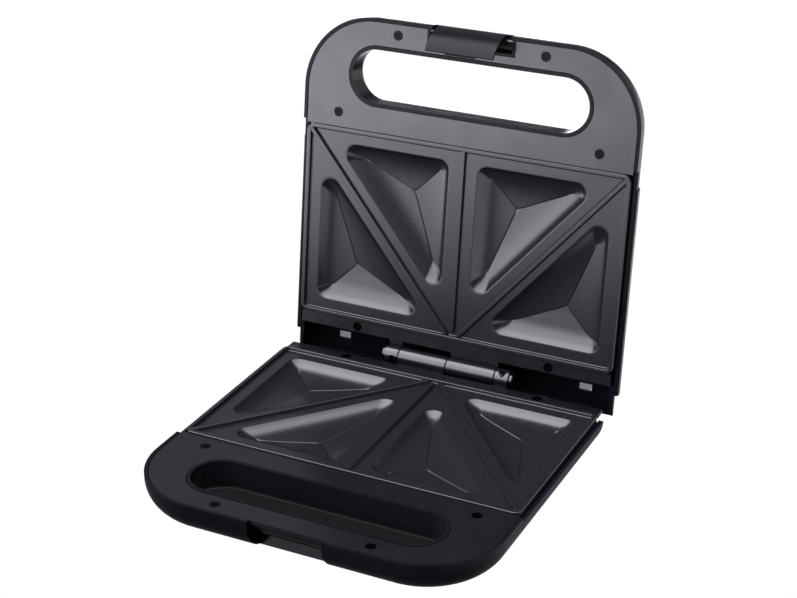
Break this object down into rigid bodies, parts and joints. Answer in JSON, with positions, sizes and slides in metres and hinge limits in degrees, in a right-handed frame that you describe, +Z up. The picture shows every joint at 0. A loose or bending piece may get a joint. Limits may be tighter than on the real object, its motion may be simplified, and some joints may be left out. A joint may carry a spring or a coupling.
{
  "type": "sandwich toaster",
  "caption": "Open sandwich toaster: two rounded black halves hinged at the back, non-stick plates with triangular pockets, handle openings at the front and a latch on the lid.",
  "frame": {"origin": "on the floor, under the middle of the open toaster's bounding box", "axes": "+Z up, -Y towards the front where the handle is, +X to the right as seen from the front"},
  "size_m": [0.2284, 0.267, 0.2454],
  "materials": {
    "shell": "satin black moulded plastic with rounded edges",
    "panel": "satin dark grey enamelled sheet",
    "frame": "satin charcoal plastic, fine grain",
    "lid_frame": "satin dark grey plastic, fine grain",
    "nonstick": "charcoal non-stick coating with fine speckle",
    "heater": "dull grey sheathed heating tube",
    "shield": "bright mill finish sheet",
    "screw_black": "blackened steel screws",
    "screw_zinc": "zinc plated steel",
    "foot": "matt black rubber",
    "gland": "black flexible grommet",
    "ceramic": "off-white heat resistant moulding",
    "fuse": "plain metal case",
    "wire": "heat resistant insulation, dark red",
    "pin": "dark blued steel",
    "red_lens": "clear red plastic",
    "green_lens": "clear green plastic",
    "lamp": "small glass lamp",
    "latch": "semi-gloss black plastic"
  },
  "bodies": {
    "base": {"base_shell": "shell", "base_frame": "frame", "base_plate": "nonstick", "base_heater": "heater", "base_heat_shield": "shield", "base_frame_screws": "screw_black", "base_plate_screws": "screw_zinc", "foot_front_left": "foot", "foot_front_right": "foot", "foot_rear_left": "foot", "foot_rear_right": "foot", "cord_gland": "gland", "cord_clamp": "ceramic", "clamp_screws": "screw_zinc", "terminal_block": "ceramic", "thermostat": "ceramic", "thermal_fuse": "fuse", "base_wiring": "wire", "hinge_pin": "pin", "hinge_pin_cap": "pin"},
    "lid": {"lid_shell": "shell", "lid_panel": "panel", "lid_frame": "lid_frame", "lid_plate": "nonstick", "lid_heater": "heater", "lid_heat_shield": "shield", "lid_frame_screws": "screw_black", "lid_plate_screws": "screw_zinc", "power_lens": "red_lens", "ready_lens": "green_lens", "power_lamp": "lamp", "ready_lamp": "lamp", "lid_wiring": "wire", "latch_pin": "pin"},
    "latch": {"latch": "latch"}
  },
  "joints": [
    {"name": "lid_hinge", "type": "hinge", "parent": "base", "child": "lid", "pos_m": [0, 0.08469, 0.029], "axis": [1, 0, 0], "range_deg": [0, 97.3]},
    {"name": "latch_hinge", "type": "hinge", "parent": "lid", "child": "latch", "pos_m": [0, 0.11464, 0.24152], "axis": [-1, 0, 0], "range_deg": [0, 45]}
  ]
}
